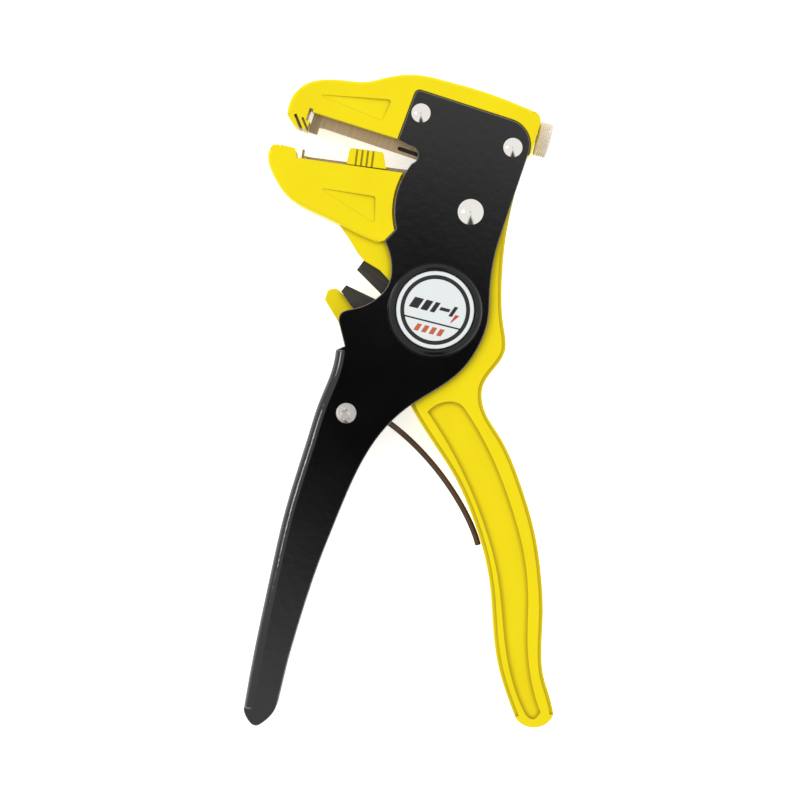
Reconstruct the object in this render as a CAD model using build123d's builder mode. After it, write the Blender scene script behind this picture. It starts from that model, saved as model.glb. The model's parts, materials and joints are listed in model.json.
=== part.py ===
# Duckbill wire stripper, lying on its rear cheek. Millimetres.
# +X runs from the jaw noses towards the adjusting screw, +Y from the handles towards the jaws,
# and +Z out of the front cheek. Every profile is drawn about the main pivot, on the mid-plane.
from build123d import *
from math import cos, radians, sin
import os

os.makedirs("parts", exist_ok=True)

# ---- driving dimensions ----
pivot_x = 19.224  # main pivot, from the middle of the tool's box
pivot_y = 51.049
cheek_gap = 11.0  # between the two cheeks
sheet = 1.5  # folded steel
handle_length = 112.3  # from the handle pivot down to the handle ends
fold_radius = 2.4
cast_round = 1.0  # rounding of the castings' outer edges

side_play = 0.1  # casting to cheek, each side
flush_step = 0.1  # castings stand this far below the cheek faces
fit = 0.05  # radial running and seating clearance
part_gap = 0.3  # between pieces that pass each other

handle_x, handle_y = -9.6, -26.5  # handle pivot
squeeze = 22.0  # full squeeze of the moving handle, degrees
jaw_close = 6.0  # lower jaw closing angle, degrees
rail_angle = -18.5  # upper blade rail
lower_rail_angle = -7.5  # lower blade rail, jaws open

relief_radius = 20.6  # cheek edge beside the lower jaw, about the main pivot
jaw_radius = 21.2  # thick part of the lower jaw ends on this radius

main_rivet, main_head = 2.5, 3.5  # shank and head radii
head_rivet, head_head = 1.7, 2.6
anchor_rivet, anchor_head = 1.8, 2.75
handle_pin, handle_pin_head = 3.0, 5.0
head_rise, main_rise, anchor_rise, pin_rise = 1.3, 1.7, 1.2, 1.2
bush_wall = 0.9
jaw_hub_wall, handle_hub_wall = 1.5, 3.4
head_rivet_places = [(-13.4, 26.7), (11.4, 17.4)]

blade_bar = 1.5  # blade bar thickness
bar_gap = 0.1  # each bar to the mid-plane
blade_half = 2.0  # half width of a stripping blade
upper_bar_low, upper_bar_depth = 9.15, 6.2  # lower edge from the main pivot, and depth
lower_bar_low, lower_bar_depth = 6.6, 2.9
bar_end = -46.3  # left end of the upper bar, along its rail
lower_bar_end = -46.8
upper_blade_thick, lower_blade_thick = 2.4, 0.6
upper_blade_tip, lower_blade_tip = 7.1, 11.2
upper_blade_top, lower_blade_foot = 12.3, 6.8
blade_vee = 1.1
blade_rivet = 0.6
upper_rivet_high, lower_rivet_high = 1.9, 1.5  # blade rivets above the lower edge of their bars
window_left, window_low, window_high = -50.1, 9.4, 12.9  # see-through window left of the upper blade
window_foot = 0.3  # window side to the blade
bar_slot, bar_slot_wide, bar_slot_deep = 7.4, 1.1, 0.9  # blind slot in the face of the upper bar
bar_slot_u, bar_slot_v = -20.6, 10.5
teeth_turn = 41.0  # slots in the upper nose
tooth_slot, tooth_length, tooth_u, tooth_v = 0.75, 4.4, -51.9, 8.4
pad_slot, pad_length, pad_u, pad_v = 0.6, 4.0, -49.9, 8.3
jaw_edge, lower_jaw_edge = 12.1, 8.46  # casting edges beside the bars
flange = 1.0  # bent end of each bar

drive_pin_radius = 1.2
pin_arm = 40.5  # handle pivot to drive pin
eye_radius = 3.0
cam_pin_radius = 1.5
cam_x, cam_y = -13.0, -12.0  # cam pin in the lower jaw, jaws open
cam_wall = 2.1
cutter = 1.5  # side cutter blade thickness
cutter_gap = 0.05  # each cutter blade to the mid-plane
cutter_rivet = 0.9
upper_cutter_holes = [(-19.6, -16.2), (-18.2, -19.4)]
lower_cutter_holes = [(-24.6, -28.4), (-20.6, -29.0)]
cutter_bevel = 0.9
panel_depth, panel_shallow = 0.5, 0.08  # sunk panels in the jaws, deepest and at the diagonal
grip_pocket = 1.3  # sunk panel in the moving handle

screw_angle = -15.0
screw_x, screw_y = 19.9, 20.0  # middle of the knurled head
screw_radius, knob_radius, knob_length = 1.5, 4.75, 3.8
screw_tip, screw_bore = -28.0, 32.0  # end of the thread, and depth of its hole
relief = 0.4  # chamfers and clip groove on the screw
clip_place, clip_radius, clip_thick = -15.4, 2.7, 0.6
nut_place, nut_drop = -25.4, -0.2
nut_length, nut_height, nut_half = 6.0, 6.4, 3.4
nut_travel = 2.0

emblem_radius, emblem_rise = 13.0, 2.4
disc_radius, disc_thick = 10.5, 0.5
wire_radius, coil_radius = 0.8, 3.4
coil_turns = 4.3

# ---- worked out from them ----
core_half = cheek_gap / 2 - side_play
body_half = cheek_gap / 2 + sheet
casting_half = body_half - flush_step
layer = cutter_gap + cutter + fit  # inner face of the jaw tail and of the finger
throat_half = bar_gap + blade_bar + 0.4  # half slot in the fork of the moving handle
channel_half = blade_half + part_gap
upper_bar_top = upper_bar_low + upper_bar_depth
lower_bar_top = lower_bar_low + lower_bar_depth
jaw_bush = main_rivet + fit + bush_wall
jaw_hub = jaw_bush + jaw_hub_wall
handle_bush = handle_pin + fit + bush_wall
handle_hub = handle_bush + handle_hub_wall
pin_angle = 90 + rail_angle + squeeze / 2  # drive pin seen from the handle pivot, at rest
sweep_radius = pin_arm + eye_radius  # outermost reach of the fork

home = Plane((pivot_x, pivot_y, body_half))
rail = home.rotated((0, 0, rail_angle))
lower_rail = home.rotated((0, 0, lower_rail_angle))
screw_plane = Plane(home.from_local_coords((screw_x, screw_y, 0))).rotated((0, 0, screw_angle))


def polar(radius, angle, x=0.0, y=0.0):
    """Point at a radius and an angle in degrees about x, y."""
    return (x + radius * cos(radians(angle)), y + radius * sin(radians(angle)))


def turned(point, angle, x=0.0, y=0.0):
    """The point turned by an angle in degrees about x, y."""
    c, s = cos(radians(angle)), sin(radians(angle))
    dx, dy = point[0] - x, point[1] - y
    return (x + c * dx - s * dy, y + s * dx + c * dy)


def down(x, share):
    """Point on a handle: sideways place, and share of the handle's length."""
    return (x, handle_y - share * handle_length)


anchor_place = down(-33.6, 0.2476)


def upright(x, y):
    """Plane through the axis at x, y, whose own y is the tool's +Z."""
    return Plane(home.from_local_coords((x, y, 0)), x_dir=(1, 0, 0), z_dir=(0, -1, 0))


def axis_at(x, y):
    """Axis along the tool's +Z at x, y."""
    return Axis(home.from_local_coords((x, y, 0)), (0, 0, 1))


def spot(x, y, z):
    """Place in the model of a point given about the main pivot."""
    return home.from_local_coords((x, y, z))


pin_place = polar(pin_arm, pin_angle, handle_x, handle_y)
pin_mid = polar(pin_arm, pin_angle - squeeze / 2, handle_x, handle_y)
pin_end = polar(pin_arm, pin_angle - squeeze, handle_x, handle_y)


# ---- outlines ----
def handle_back():
    """Left edge of the folded handle, from its end up to the top of the web."""
    return Spline(
        down(-61.3, 0.955), down(-58.6, 0.822), down(-54.5, 0.649), down(-50.0, 0.476),
        down(-44.0, 0.303), down(-40.8, 0.216), down(-38.1, 0.158), down(-36.5, 0.096),
    )


def cheek_outline():
    """Closed outline of one cheek, clockwise from the end of the handle."""
    back = handle_back()
    Line(back @ 1, (-34.0, -36.2))
    Line((-34.0, -36.2), (-35.6, -29.8))
    Spline(
        (-35.6, -29.8), (-34.9, -27.2), (-31.2, -26.0), (-26.4, -24.0),
        (-22.4, -19.9), (-21.4, -15.0), (-23.2, -7.9),
    )
    relief = CenterArc((0, 0), relief_radius, 192.9, -52.5)
    Line((-23.2, -7.9), relief @ 0)
    ThreePointArc(relief @ 1, (-14.2, 15.3), (-16.2, 17.7))
    Line((-16.2, 17.7), (-19.6, 19.4))
    head = FilletPolyline((-19.6, 19.4), (-14.5, 33.1), (17.9, 22.6), (7.8, -7.3), radius=[1.3, 7.0])
    edge = Spline(
        head @ 1, (5.2, -21.5), (4.6, -29.7), (2.2, -36.2), (-2.4, -42.7), (-9.4, -48.0),
        down(-16.5, 0.231), down(-23.5, 0.288), down(-30.8, 0.389), down(-36.5, 0.505),
        down(-41.6, 0.620), down(-45.9, 0.735), down(-49.7, 0.850), down(-52.1, 0.938),
        tangents=[head % 1, (-0.25, -1.0)],
    )
    Spline(edge @ 1, down(-53.4, 0.968), down(-55.6, 0.988), down(-58.2, 0.999), down(-60.4, 0.982), back @ 0)


def upper_jaw_back():
    """Back of the upper jaw, from its tip over the humps to the adjusting screw."""
    return Spline(
        turned((-55.48, 9.49), rail_angle), (-49.2, 28.8), (-47.9, 31.7), (-44.3, 34.8), (-39.0, 35.9),
        (-33.5, 35.6), (-28.0, 35.3), (-22.9, 36.4), (-17.3, 37.2), (-12.4, 36.9), (-6.2, 35.4),
        (1.1, 33.4), (9.7, 30.4), (17.4, 27.2),
    )


def head_corner():
    """Closed outline of the head of the cheek, which the upper jaw is let in around."""
    FilletPolyline((-19.6, 19.4), (-14.5, 33.1), (17.9, 22.6), (7.8, -7.3), radius=[1.3, 7.0])
    Line((7.8, -7.3), (-19.6, 19.4))


def rivet_profile(shank, head, rise, tail=None):
    """Half section of a rivet: flush sunk tail behind, domed head in front."""
    tail = tail or head
    Polyline(
        (0, -body_half), (tail, -body_half), (shank, -body_half + tail - shank),
        (shank, body_half), (head, body_half), (head, body_half + 0.3),
    )
    dome = rise - 0.3
    RadiusArc((head, body_half + 0.3), (0, body_half + rise), -(head**2 + dome**2) / (2 * dome))
    Line((0, body_half + rise), (0, -body_half))


def sink_cone(shank, tail):
    """Cone and bore for one rivet with a flush tail, cut through the active part."""
    depth = tail - shank + fit
    Cylinder(shank + fit, 2 * body_half + 2, mode=Mode.SUBTRACT)
    with Locations((0, 0, -body_half + depth / 2)):
        Cone(tail + fit, shank + fit, depth, mode=Mode.SUBTRACT)


def across(path):
    """Plane square to the start of a clockwise edge line, with its own x pointing out of the outline."""
    return Plane(path @ 0, x_dir=Vector(0, 0, 1).cross(path % 0), z_dir=path % 0)


def corner_waste(side, half, radius):
    """What rounding takes off the square outer corner at one face; local x is outwards."""
    top, low, over = side * half, side * (half - radius), side * (half + 1)
    RadiusArc((-radius, top), (0, low), side * radius)
    Polyline((0, low), (1, low), (1, over), (-radius, over), (-radius, top))


def panel_floor(side, tip, far, low):
    """Plane that sinks from the diagonal tip-low of a sunk panel towards its far corner."""
    start = spot(*tip, side * (casting_half - panel_shallow))
    end = spot(*low, side * (casting_half - panel_shallow))
    deep = spot(*far, side * (casting_half - panel_depth))
    return Plane(start, x_dir=end - start, z_dir=(end - start).cross(deep - start) * side)


def panel_outline(floor, side, tip, far, low):
    """Closed outline of a sunk panel, as it falls on its sloping floor."""
    corners = [floor.to_local_coords(spot(*point, side * casting_half)) for point in (tip, far, low)]
    FilletPolyline(*[(corner.X, corner.Y) for corner in corners], radius=[0.25, 0.7, 0.5], close=True)


upper_panel = (-41.5, 31.8), (-21.2, 30.3), (-23.9, 24.6)
lower_panel = (-40.8, 6.5), (-25.7, 4.2), (-25.9, -3.1)

# ---- folded frame: two cheeks joined by the web along the back of the handle ----
with BuildPart(home) as folded_frame:
    with BuildSketch(home.offset(-body_half)):
        with BuildLine():
            cheek_outline()
        make_face()
    extrude(amount=2 * body_half)
    with BuildLine(home, mode=Mode.PRIVATE) as back_path:
        handle_back()
    for side in (-1, 1):
        with BuildSketch(across(back_path.edge())):
            with BuildLine():
                corner_waste(side, body_half, fold_radius)
            make_face()
        sweep(path=back_path.edge(), mode=Mode.SUBTRACT)
    with BuildSketch(home.offset(-cheek_gap / 2)):
        with BuildLine():
            cheek_outline()
        make_face()
        with BuildLine():
            handle_back()
        trace(line_width=2 * sheet, mode=Mode.SUBTRACT)
    extrude(amount=cheek_gap, mode=Mode.SUBTRACT)
    for place in head_rivet_places:
        with Locations((*place, 0)):
            sink_cone(head_rivet, head_head)
    with Locations((0, 0, 0)):
        sink_cone(main_rivet, main_head)
    with Locations((*anchor_place, 0)):
        sink_cone(anchor_rivet, anchor_head)
    with Locations((handle_x, handle_y, 0)):
        sink_cone(handle_pin, handle_pin + 1)
folded_frame.part.label = "folded_frame"
export_step(folded_frame.part, "parts/folded_frame.step")

# ---- rivets through the frame ----
with BuildPart() as head_rivets:
    for place in head_rivet_places:
        with BuildSketch(upright(*place)):
            with BuildLine():
                rivet_profile(head_rivet, head_head, head_rise)
            make_face()
        revolve(axis=axis_at(*place))
head_rivets.part.label = "head_rivets"
export_step(head_rivets.part, "parts/head_rivets.step")

with BuildPart() as main_pivot_rivet:
    with BuildSketch(upright(0, 0)):
        with BuildLine():
            rivet_profile(main_rivet, main_head, main_rise)
        make_face()
    revolve(axis=axis_at(0, 0))
main_pivot_rivet.part.label = "main_pivot_rivet"
export_step(main_pivot_rivet.part, "parts/main_pivot_rivet.step")

with BuildPart() as spring_anchor_rivet:
    with BuildSketch(upright(*anchor_place)):
        with BuildLine():
            rivet_profile(anchor_rivet, anchor_head, anchor_rise)
        make_face()
    revolve(axis=axis_at(*anchor_place))
spring_anchor_rivet.part.label = "spring_anchor_rivet"
export_step(spring_anchor_rivet.part, "parts/spring_anchor_rivet.step")

with BuildPart() as handle_pivot_pin:
    with BuildSketch(upright(handle_x, handle_y)):
        with BuildLine():
            rivet_profile(handle_pin, handle_pin_head, pin_rise, handle_pin + 1)
        make_face()
    revolve(axis=axis_at(handle_x, handle_y))
handle_pivot_pin.part.label = "handle_pivot_pin"
export_step(handle_pivot_pin.part, "parts/handle_pivot_pin.step")

# ---- emblem cap over the handle pivot, and its disc ----
seat = body_half + emblem_rise - disc_thick - 0.3  # the disc lies 0.3 below the rim
bore = handle_pin_head + part_gap
roof = body_half + pin_rise + part_gap
with BuildPart() as emblem_cap:
    with BuildSketch(upright(handle_x, handle_y)):
        with BuildLine():
            skirt, shoulder = (emblem_radius, body_half + 0.5), (emblem_radius - 1.6, body_half + emblem_rise)
            Polyline((bore, body_half), (emblem_radius, body_half), skirt)
            ThreePointArc(skirt, (emblem_radius - 0.8, body_half + emblem_rise - 0.55), shoulder)
            Polyline(
                shoulder, (disc_radius + fit, seat),
                (0, seat), (0, roof), (bore, roof), (bore, body_half),
            )
        make_face()
    revolve(axis=axis_at(handle_x, handle_y))
emblem_cap.part.label = "emblem_cap"
export_step(emblem_cap.part, "parts/emblem_cap.step")

with BuildPart() as emblem_disc:
    with BuildSketch(home.offset(seat)):
        with Locations((handle_x, handle_y)):
            Circle(disc_radius)
    extrude(amount=disc_thick)
    chamfer(emblem_disc.edges().group_by(Axis.Z)[-1], 0.15)
emblem_disc.part.label = "emblem_disc"
export_step(emblem_disc.part, "parts/emblem_disc.step")

# ---- upper jaw: fixed casting, let in around the head of the cheeks ----
slot_right = bar_end - upper_blade_thick - window_foot
nose_low = 7.0  # grip face of the upper nose, from the main pivot
with BuildPart(home) as upper_jaw:
    with BuildSketch(home.offset(-casting_half)):
        with BuildLine():
            rail_line = [
                turned(p, rail_angle)
                for p in [
                    (-55.48, 9.49), (-52.4, nose_low), (slot_right, nose_low), (slot_right, window_low),
                    (window_left, window_low), (window_left, window_high), (slot_right, window_high),
                    (slot_right, jaw_edge),
                ]
            ]
            fork_clear = sweep_radius + 0.5
            corner = polar(fork_clear, 93.4, handle_x, handle_y)
            arc = ThreePointArc(
                corner, polar(fork_clear, 78.0, handle_x, handle_y),
                polar(fork_clear, 61.0, handle_x, handle_y),
            )
            Polyline(*rail_line, corner)
            Polyline(
                arc @ 1, (13.0, 13.9), (15.6, 15.3), (16.4, 15.9), (19.0, 24.3), (18.6, 26.2), (17.4, 27.2)
            )
            upper_jaw_back()
        make_face()
    extrude(amount=2 * casting_half)
    with BuildLine(home, mode=Mode.PRIVATE) as jaw_back:
        upper_jaw_back()
    for side in (-1, 1):
        with BuildSketch(across(jaw_back.edge())):
            with BuildLine():
                corner_waste(side, casting_half, cast_round)
            make_face()
        sweep(path=jaw_back.edge(), mode=Mode.SUBTRACT)
    for side in (-1, 1):
        with BuildSketch(home.offset(side * core_half)):
            with BuildLine():
                head_corner()
            make_face()
            offset(amount=part_gap)
        extrude(amount=side * (casting_half - core_half + 1), mode=Mode.SUBTRACT)
        floor = panel_floor(side, *upper_panel)
        with BuildSketch(floor):
            with BuildLine():
                panel_outline(floor, side, *upper_panel)
            make_face()
        extrude(amount=side * (panel_depth + 1), mode=Mode.SUBTRACT)
    with BuildSketch(rail.offset(-channel_half)):
        with Locations(((slot_right + 20) / 2, (nose_low - 2 + upper_bar_top + part_gap) / 2)):
            Rectangle(20 - slot_right, upper_bar_top + part_gap - nose_low + 2)
        with Locations((6, upper_bar_top + 0.7)):
            Rectangle(28, 3.0)
    extrude(amount=2 * channel_half, mode=Mode.SUBTRACT)
    with BuildSketch(rail.offset(-casting_half)):
        with Locations((tooth_u, tooth_v)):
            Rectangle(tooth_slot, tooth_length, rotation=teeth_turn)
        with Locations((pad_u, pad_v)):
            Rectangle(pad_slot, pad_length, rotation=teeth_turn)
    extrude(amount=2 * casting_half, mode=Mode.SUBTRACT)
    with BuildSketch(Plane(screw_plane.origin, x_dir=(0, 0, 1), z_dir=screw_plane.x_dir)):
        Circle(screw_radius + fit)
    extrude(amount=-screw_bore, mode=Mode.SUBTRACT)
    with BuildSketch(screw_plane.offset(-nut_half - fit)):
        with Locations((nut_place, nut_drop)):
            Rectangle(nut_length + 2 * nut_travel, nut_height + 2 * fit)
        with Locations((clip_place, 0)):
            Rectangle(clip_thick + 2 * fit, 2 * (clip_radius + part_gap))
    extrude(amount=core_half + nut_half + 1, mode=Mode.SUBTRACT)
    with BuildSketch(screw_plane.offset(-knob_radius - 2)):
        with Locations((0, 0)):
            Rectangle(knob_length + 2 * part_gap, 2 * knob_radius + 1)
    extrude(amount=2 * knob_radius + 4, mode=Mode.SUBTRACT)
    for place in head_rivet_places:
        with Locations((*place, 0)):
            Cylinder(head_rivet + fit, 2 * body_half, mode=Mode.SUBTRACT)
upper_jaw.part.label = "upper_jaw"
export_step(upper_jaw.part, "parts/upper_jaw.step")

# ---- steel grip plate in the upper nose ----
with BuildPart() as upper_grip_pad:
    with BuildSketch(rail.offset(-core_half)):
        with Locations((pad_u, pad_v)):
            Rectangle(pad_slot - 2 * fit, pad_length - 2 * fit, rotation=teeth_turn)
        with Locations((slot_right - fit - pad_length, nose_low + fit + pad_length)):
            Rectangle(2 * pad_length, 2 * pad_length, mode=Mode.INTERSECT)
    extrude(amount=2 * core_half)
upper_grip_pad.part.label = "upper_grip_pad"
export_step(upper_grip_pad.part, "parts/upper_grip_pad.step")

# ---- adjusting screw, its clip, and the nut block that it moves ----
groove_half = clip_thick / 2 + fit
with BuildPart() as adjusting_screw:
    with BuildSketch(screw_plane):
        with BuildLine():
            Polyline(
                (screw_tip, 0), (screw_tip, screw_radius - relief), (screw_tip + relief, screw_radius),
                (clip_place - groove_half, screw_radius), (clip_place - groove_half, screw_radius - relief),
                (clip_place + groove_half, screw_radius - relief), (clip_place + groove_half, screw_radius),
                (-knob_length / 2, screw_radius), (-knob_length / 2, knob_radius - relief),
                (-knob_length / 2 + relief, knob_radius), (knob_length / 2 - relief, knob_radius),
                (knob_length / 2, knob_radius - relief), (knob_length / 2, 0), close=True,
            )
        make_face()
    revolve(axis=Axis(screw_plane.origin, screw_plane.x_dir))
adjusting_screw.part.label = "adjusting_screw"
export_step(adjusting_screw.part, "parts/adjusting_screw.step")

with BuildPart() as screw_clip:
    clip_face = Plane(screw_plane.from_local_coords((clip_place - clip_thick / 2, 0, 0)), x_dir=(0, 0, 1),
                      z_dir=screw_plane.x_dir)
    with BuildSketch(clip_face):
        Circle(clip_radius)
        Circle(screw_radius - relief + fit, mode=Mode.SUBTRACT)
        with Locations((clip_radius, 0)):
            Rectangle(2 * clip_radius, 2 * (screw_radius - relief - 0.1), mode=Mode.SUBTRACT)
    extrude(amount=clip_thick)
screw_clip.part.label = "screw_clip"
export_step(screw_clip.part, "parts/screw_clip.step")

with BuildPart() as adjuster_block:
    with BuildSketch(screw_plane.offset(-nut_half)):
        with Locations((nut_place, nut_drop)):
            Rectangle(nut_length, nut_height)
    extrude(amount=2 * nut_half)
    chamfer(adjuster_block.edges().filter_by(Axis.Z), 0.5)
    with BuildSketch(Plane(screw_plane.origin, x_dir=(0, 0, 1), z_dir=screw_plane.x_dir)):
        Circle(screw_radius + fit)
    extrude(amount=-screw_bore, mode=Mode.SUBTRACT)
adjuster_block.part.label = "adjuster_block"
export_step(adjuster_block.part, "parts/adjuster_block.step")

# ---- upper blade bar: steel strip with a bent end, slotted for the drive pin ----
def in_rail(point, angle):
    """A point given about the main pivot, seen along a rail at an angle."""
    return turned(point, -angle)


pin_u, pin_low = in_rail(pin_place, rail_angle)
pin_high = in_rail(pin_mid, rail_angle)[1]
bar_travel = in_rail(pin_end, rail_angle)[0] - pin_u
slot_radius = drive_pin_radius + fit
with BuildPart() as upper_blade_bar:
    with BuildSketch(rail.offset(bar_gap)):
        with BuildLine():
            bar_right = pin_u + slot_radius + 1.5
            FilletPolyline(
                (bar_end, upper_bar_low), (bar_right, upper_bar_low), (bar_right, upper_bar_top),
                (bar_end, upper_bar_top), radius=0.8, close=True,
            )
        make_face()
        with Locations((pin_u, (pin_low + pin_high) / 2)):
            SlotCenterToCenter(pin_high - pin_low, 2 * slot_radius, rotation=90, mode=Mode.SUBTRACT)
    extrude(amount=blade_bar)
    with BuildSketch(rail.offset(bar_gap + blade_bar - bar_slot_deep)):
        with Locations((bar_slot_u, bar_slot_v)):
            SlotOverall(bar_slot, bar_slot_wide)
    extrude(amount=bar_slot_deep, mode=Mode.SUBTRACT)
    with BuildSketch(rail.offset(-blade_half)):
        with Locations((bar_end + flange / 2, upper_bar_low + 1.6)):
            Rectangle(flange, 3.2)
    extrude(amount=2 * blade_half)
upper_blade_bar.part.label = "upper_blade_bar"
export_step(upper_blade_bar.part, "parts/upper_blade_bar.step")

# ---- stripping blades: square to their bars, with a notched edge ----
def blade_face(angle, u):
    """Plane square to a rail at u, whose own x is the tool's Z and whose own y is away from the pivot."""
    plane = home.rotated((0, 0, angle))
    return Plane(plane.from_local_coords((u, 0, 0)), x_dir=(0, 0, 1), z_dir=-plane.x_dir)


with BuildPart() as upper_stripping_blade:
    with BuildSketch(blade_face(rail_angle, bar_end)):
        with BuildLine():
            Polyline(
                (-blade_half, upper_blade_top), (-blade_half, upper_blade_tip), (-blade_vee, upper_blade_tip),
                (0, upper_blade_tip + blade_vee), (blade_vee, upper_blade_tip), (blade_half, upper_blade_tip),
                (blade_half, upper_blade_top), close=True,
            )
        make_face()
        with Locations((0, upper_bar_low + upper_rivet_high)):
            Circle(blade_rivet + fit, mode=Mode.SUBTRACT)
    extrude(amount=upper_blade_thick)
upper_stripping_blade.part.label = "upper_stripping_blade"
export_step(upper_stripping_blade.part, "parts/upper_stripping_blade.step")

with BuildPart() as upper_blade_rivet:
    with BuildSketch(blade_face(rail_angle, bar_end)):
        with Locations((0, upper_bar_low + upper_rivet_high)):
            Circle(blade_rivet)
    extrude(amount=upper_blade_thick)
upper_blade_rivet.part.label = "upper_blade_rivet"
export_step(upper_blade_rivet.part, "parts/upper_blade_rivet.step")

with BuildPart() as lower_stripping_blade:
    with BuildSketch(blade_face(lower_rail_angle, lower_bar_end)):
        with BuildLine():
            Polyline(
                (-blade_half, lower_blade_foot), (-blade_half, lower_blade_tip),
                (-blade_vee, lower_blade_tip), (0, lower_blade_tip - blade_vee), (blade_vee, lower_blade_tip),
                (blade_half, lower_blade_tip), (blade_half, lower_blade_foot), close=True,
            )
        make_face()
        with Locations((0, lower_bar_low + lower_rivet_high)):
            Circle(blade_rivet + fit, mode=Mode.SUBTRACT)
    extrude(amount=lower_blade_thick)
lower_stripping_blade.part.label = "lower_stripping_blade"
export_step(lower_stripping_blade.part, "parts/lower_stripping_blade.step")

with BuildPart() as lower_blade_rivet:
    with BuildSketch(blade_face(lower_rail_angle, lower_bar_end)):
        with Locations((0, lower_bar_low + lower_rivet_high)):
            Circle(blade_rivet)
    extrude(amount=lower_blade_thick)
lower_blade_rivet.part.label = "lower_blade_rivet"
export_step(lower_blade_rivet.part, "parts/lower_blade_rivet.step")

# ---- lower blade bar: runs in the lower jaw, with a lug up to the drive pin ----
lug_u, lug_high = in_rail(pin_place, lower_rail_angle)
pin_end_in_jaw = in_rail(turned(pin_end, jaw_close), lower_rail_angle)
lug_low = pin_end_in_jaw[1]
lower_travel = pin_end_in_jaw[0] - lug_u
with BuildPart() as lower_blade_bar:
    with BuildSketch(lower_rail.offset(-bar_gap - blade_bar)):
        with BuildLine():
            FilletPolyline(
                (lower_bar_end, lower_bar_low), (lug_u + 2.7, lower_bar_low), (lug_u + 2.7, lug_high + 2.5),
                (lug_u - 2.7, lug_high + 2.5), (lug_u - 2.7, lower_bar_top), (lower_bar_end, lower_bar_top),
                radius=0.7, close=True,
            )
        make_face()
        with Locations((lug_u, (lug_low + lug_high) / 2)):
            SlotCenterToCenter(lug_high - lug_low, 2 * slot_radius, rotation=90, mode=Mode.SUBTRACT)
    extrude(amount=blade_bar)
    with BuildSketch(lower_rail.offset(-blade_half)):
        with Locations((lower_bar_end + flange / 2, (lower_bar_low + lower_bar_top) / 2)):
            Rectangle(flange, lower_bar_depth)
    extrude(amount=2 * blade_half)
lower_blade_bar.part.label = "lower_blade_bar"
export_step(lower_blade_bar.part, "parts/lower_blade_bar.step")

# ---- lower jaw: casting on the main pivot, with a thinner tail that carries the cutter ----
def lower_jaw_belly():
    """Underside of the lower jaw, from the corner by the cutter forward to the nose."""
    return Spline(
        (-25.2, -8.2), (-30.6, -5.9), (-35.7, -3.2), (-41.0, -0.6), (-45.4, 1.5), (-49.3, 4.2),
        (-52.2, 7.9), (-54.1, 11.8), (-54.8, 15.1), (-54.1, 17.4),
    )


stop_neck_low, stop_neck_high = 4.0, 5.2
stop_foot_low, stop_foot_high = 3.4, 5.8
stop_foot_depth, stop_neck_depth = 2.2, 1.1
with BuildPart(home) as lower_jaw:
    with BuildSketch(home.offset(-casting_half)):
        with BuildLine():
            belly = lower_jaw_belly()
            edge_start = turned((lower_bar_end - lower_blade_thick, lower_jaw_edge), lower_rail_angle)
            edge_end = turned((-19.4, lower_jaw_edge), lower_rail_angle)
            wall_arc = CenterArc((0, 0), jaw_radius, 150.0, 43.5)
            Polyline(
                belly @ 1, (-53.4, 18.2), (-51.9, 18.35), (-51.4, 17.9), (-51.1, 18.2), (-47.5, 17.3),
                (-47.1, 16.4), (-47.0, 14.6),
                edge_start, wall_arc @ 0,
            )
            Line(wall_arc @ 1, (-23.3, -7.7))
            Line((-23.3, -7.7), belly @ 0)
        make_face()
    extrude(amount=2 * casting_half)
    with BuildLine(home, mode=Mode.PRIVATE) as belly_path:
        lower_jaw_belly()
    for side in (-1, 1):
        with BuildSketch(across(belly_path.edge())):
            with BuildLine():
                corner_waste(side, casting_half, cast_round)
            make_face()
        sweep(path=belly_path.edge(), mode=Mode.SUBTRACT)
        floor = panel_floor(side, *lower_panel)
        with BuildSketch(floor):
            with BuildLine():
                panel_outline(floor, side, *lower_panel)
            make_face()
        extrude(amount=side * (panel_depth + 1), mode=Mode.SUBTRACT)
    with BuildSketch(home.offset(-core_half)):
        with BuildLine():
            FilletPolyline(
                (-24.0, 11.0), turned((-10.5, lower_jaw_edge), lower_rail_angle), (-5.0, 4.0), (-3.0, -3.5),
                (-11.0, -5.3), (-23.0, -7.0), radius=1.0, close=True,
            )
        make_face()
        Circle(jaw_hub)
    extrude(amount=2 * core_half)
    with BuildSketch(home.offset(layer)):
        with BuildLine():
            FilletPolyline(
                (-30.0, 0.0), (-35.9, -2.9), (-33.2, -6.6), (-30.6, -10.9), (-28.8, -13.0), (-24.5, -15.6),
                (-22.1, -18.2), (-19.4, -21.4), (-15.5, -20.0), (-9.6, -14.0), (-8.4, -4.0),
                radius=1.0, close=True,
            )
        make_face()
    extrude(amount=core_half - layer)
    with BuildSketch(lower_rail.offset(-channel_half)):
        channel_left = lower_bar_end - lower_blade_thick - part_gap
        with Locations(((channel_left + 10) / 2, lower_bar_low - part_gap + 4)):
            Rectangle(10 - channel_left, 8)
    extrude(amount=2 * channel_half, mode=Mode.SUBTRACT)
    with BuildSketch(home.offset(-body_half)):
        Circle(jaw_bush + fit)
    extrude(amount=2 * body_half, mode=Mode.SUBTRACT)
    with BuildSketch(home.offset(-body_half)):
        with Locations((cam_x, cam_y)):
            Circle(cam_pin_radius + fit)
    extrude(amount=2 * body_half, mode=Mode.SUBTRACT)
    for low, high, depth in [
        (stop_neck_low, stop_neck_high, stop_neck_depth),
        (stop_foot_low, stop_foot_high, stop_foot_depth),
    ]:
        with BuildSketch(lower_rail.offset(low - fit)):
            top = lower_jaw_edge + 1 if depth == stop_neck_depth else lower_jaw_edge - stop_neck_depth
            with Locations((-30, (top + lower_jaw_edge - depth) / 2)):
                Rectangle(50, top - lower_jaw_edge + depth)
        extrude(amount=high - low + 2 * fit, mode=Mode.SUBTRACT)
    with BuildSketch(home.offset(layer - 1)):
        with Locations(*upper_cutter_holes):
            Circle(cutter_rivet + fit)
    extrude(amount=core_half, mode=Mode.SUBTRACT)
lower_jaw.part.label = "lower_jaw"
export_step(lower_jaw.part, "parts/lower_jaw.step")

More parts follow.
